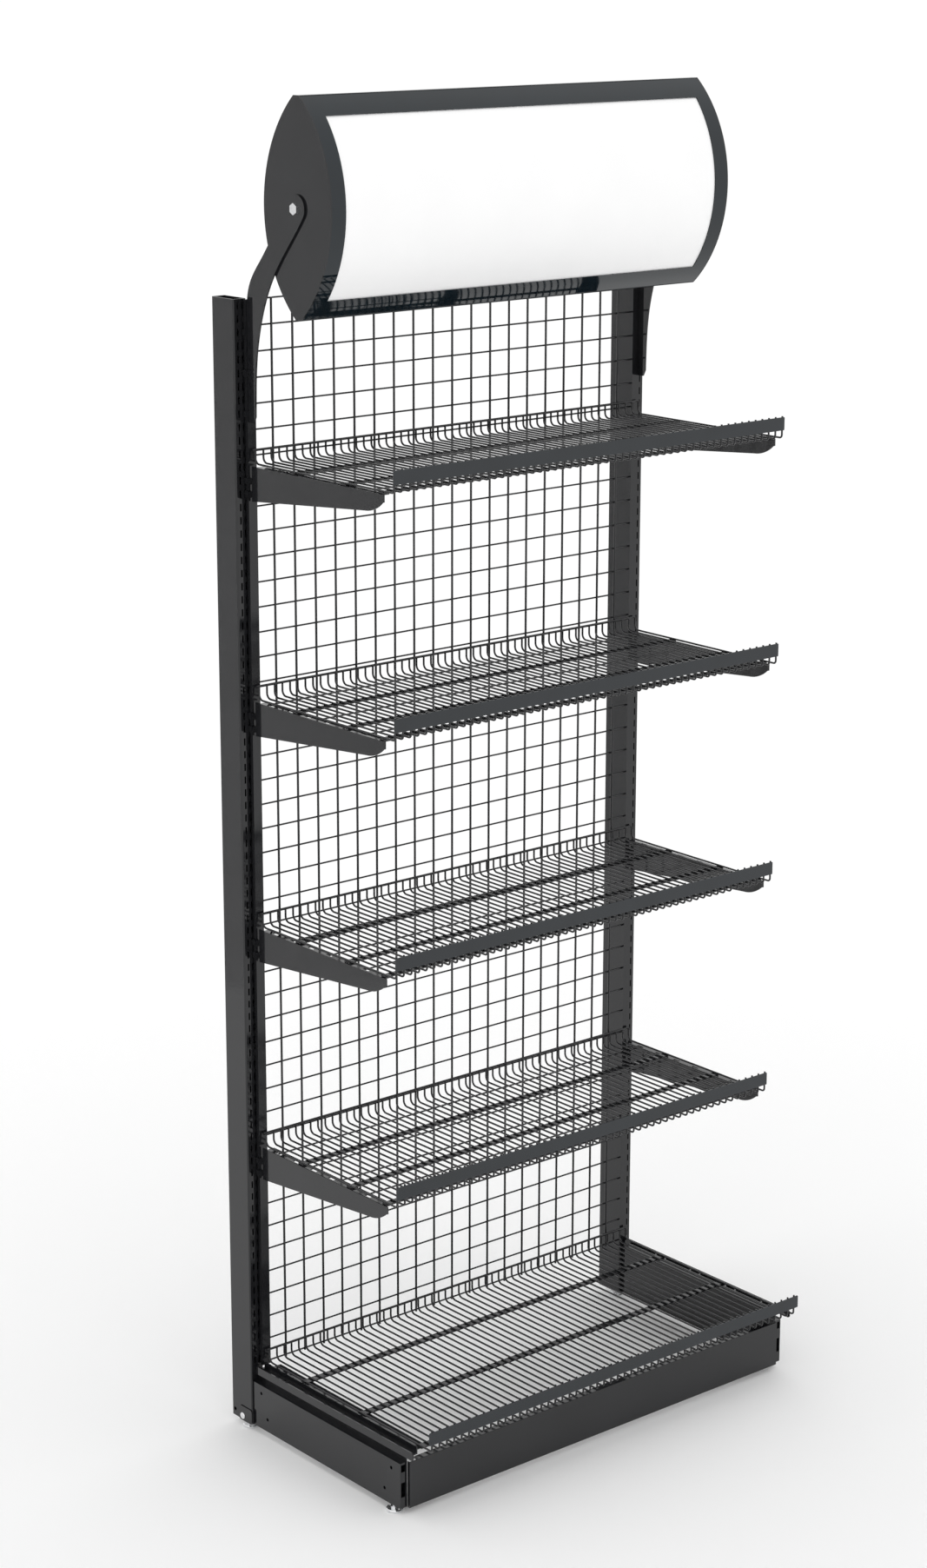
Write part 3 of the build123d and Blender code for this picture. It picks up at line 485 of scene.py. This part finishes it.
def beads(name, places, size, finish, body, paint_slot):
    """One mesh of small balls, size is the half-widths along x, y and z."""
    ball = bmesh.new()
    bmesh.ops.create_icosphere(ball, subdivisions=1, radius=1.0)
    ball_points = [tuple(vertex.co) for vertex in ball.verts]
    ball_faces = [[vertex.index for vertex in face.verts] for face in ball.faces]
    ball.free()
    points, faces = [], []
    for place in places:
        offset = len(points)
        points += [tuple(p + s * c for p, s, c in zip(place, size, co))
                   for co in ball_points]
        faces += [[offset + index for index in face] for face in ball_faces]
    sheet = bpy.data.meshes.new(name)
    sheet.from_pydata(points, [], faces)
    sheet.shade_smooth()
    sheet.materials.append(finish)
    piece = bpy.data.objects.new(name, sheet)
    bpy.context.scene.collection.objects.link(piece)
    add_piece(piece, body, paint_slot)
    return len(places)


bead_count = beads("mesh_weld_beads",
                   [(x, (column_y + row_y) / 2, z) for x in column_x for z in row_z],
                   MESH_BEAD, mesh_coat, "frame", "mesh_paint")
for tag, (wires_x, bars_y, bar_top) in deck_crossings.items():
    bead_count += beads(f"deck_weld_beads_{tag}",
                        [(x, y, bar_top) for x in wires_x for y in bars_y],
                        DECK_BEAD, wire_coat, f"deck_{tag}", "wire_paint")
print("weld beads", bead_count)

# %% [markdown]
# ## Floor and light
# A very large pale floor, so that its far edge melts into an equally pale room, and
# one even dome of light. Gloss this dark shows what stands around it, so it needs a
# bright room far more than it needs lamps: a lamp would only leave a hot streak on
# the curved sign. The floor colour is painted a touch greyer close to the bay, as
# painted shade for the soft shadow round the foot of the bay.
# The left sides would mirror the far floor at a glancing angle and come out paler
# than the fronts, so a light grey card stands behind left. The camera, soft light and
# shadows pass it by, and only glossy reflections show it.

# %% Floor and light
FLOOR_REACH = 60.0
ROOM_LIGHT = 1.03
# painted shade: the floor colour goes greyer near the bay, in place of its soft
# shadow
NEAR_SHADED_GREY, FAR_GREY = 0.965, 0.995
SHADE_FADE_START, SHADE_FADE_END = 0.8, 3.4
CARD_GREY = 0.80
CARD_ENDS = ((-3.6, 1.2), (-0.9, 3.6))
CARD_HEIGHT = 4.5
MATT = 0.9


def pale_floor():
    """A wide matt disc under the bay."""
    outline = bmesh.new()
    bmesh.ops.create_circle(outline, cap_ends=True, segments=96, radius=FLOOR_REACH)
    sheet = bpy.data.meshes.new("floor")
    outline.to_mesh(sheet)
    outline.free()
    floor = bpy.data.objects.new("floor", sheet)
    bpy.context.scene.collection.objects.link(floor)
    finish, tree, shader = new_finish("pale_floor")
    place = add_node(tree, "ShaderNodeTexCoord")
    distance = add_node(tree, "ShaderNodeVectorMath", operation="LENGTH")
    # painted shade: floor colour darkens towards the bay, standing in for its shadow
    painted_shade_fade = add_node(tree, "ShaderNodeMapRange", interpolation_type="SMOOTHSTEP")
    painted_shade_fade.inputs["From Min"].default_value = SHADE_FADE_START
    painted_shade_fade.inputs["From Max"].default_value = SHADE_FADE_END
    painted_shade_fade.inputs["To Min"].default_value = NEAR_SHADED_GREY
    painted_shade_fade.inputs["To Max"].default_value = FAR_GREY
    tree.links.new(place.outputs["Object"], distance.inputs[0])
    tree.links.new(distance.outputs["Value"], painted_shade_fade.inputs["Value"])
    tree.links.new(painted_shade_fade.outputs["Result"], shader.inputs["Base Color"])
    shader.inputs["Roughness"].default_value = MATT
    shader.inputs["Specular IOR Level"].default_value = 0.0
    sheet.materials.append(finish)


def grey_card():
    """A large card behind and to the left that only glossy reflections show."""
    sheet = bpy.data.meshes.new("grey_card")
    corners = [(x, y, z) for z in (0.0, CARD_HEIGHT) for x, y in CARD_ENDS]
    sheet.from_pydata(corners, [], [(0, 1, 3, 2)])
    card = bpy.data.objects.new("grey_card", sheet)
    bpy.context.scene.collection.objects.link(card)
    card.visible_camera = False
    card.visible_diffuse = False
    card.visible_shadow = False
    finish, _, shader = new_finish("grey_card")
    shader.inputs["Base Color"].default_value = (CARD_GREY, CARD_GREY, CARD_GREY, 1)
    shader.inputs["Roughness"].default_value = MATT
    shader.inputs["Specular IOR Level"].default_value = 0.0
    sheet.materials.append(finish)


pale_floor()
grey_card()
room = bpy.data.worlds.new("room")
room.use_nodes = True
room.node_tree.nodes["Background"].inputs["Color"].default_value = (1, 1, 1, 1)
room.node_tree.nodes["Background"].inputs["Strength"].default_value = ROOM_LIGHT
bpy.context.scene.world = room
bpy.context.scene.view_settings.view_transform = "Standard"
print("room light", ROOM_LIGHT, "floor", NEAR_SHADED_GREY, "to", FAR_GREY,
      "card", CARD_GREY)
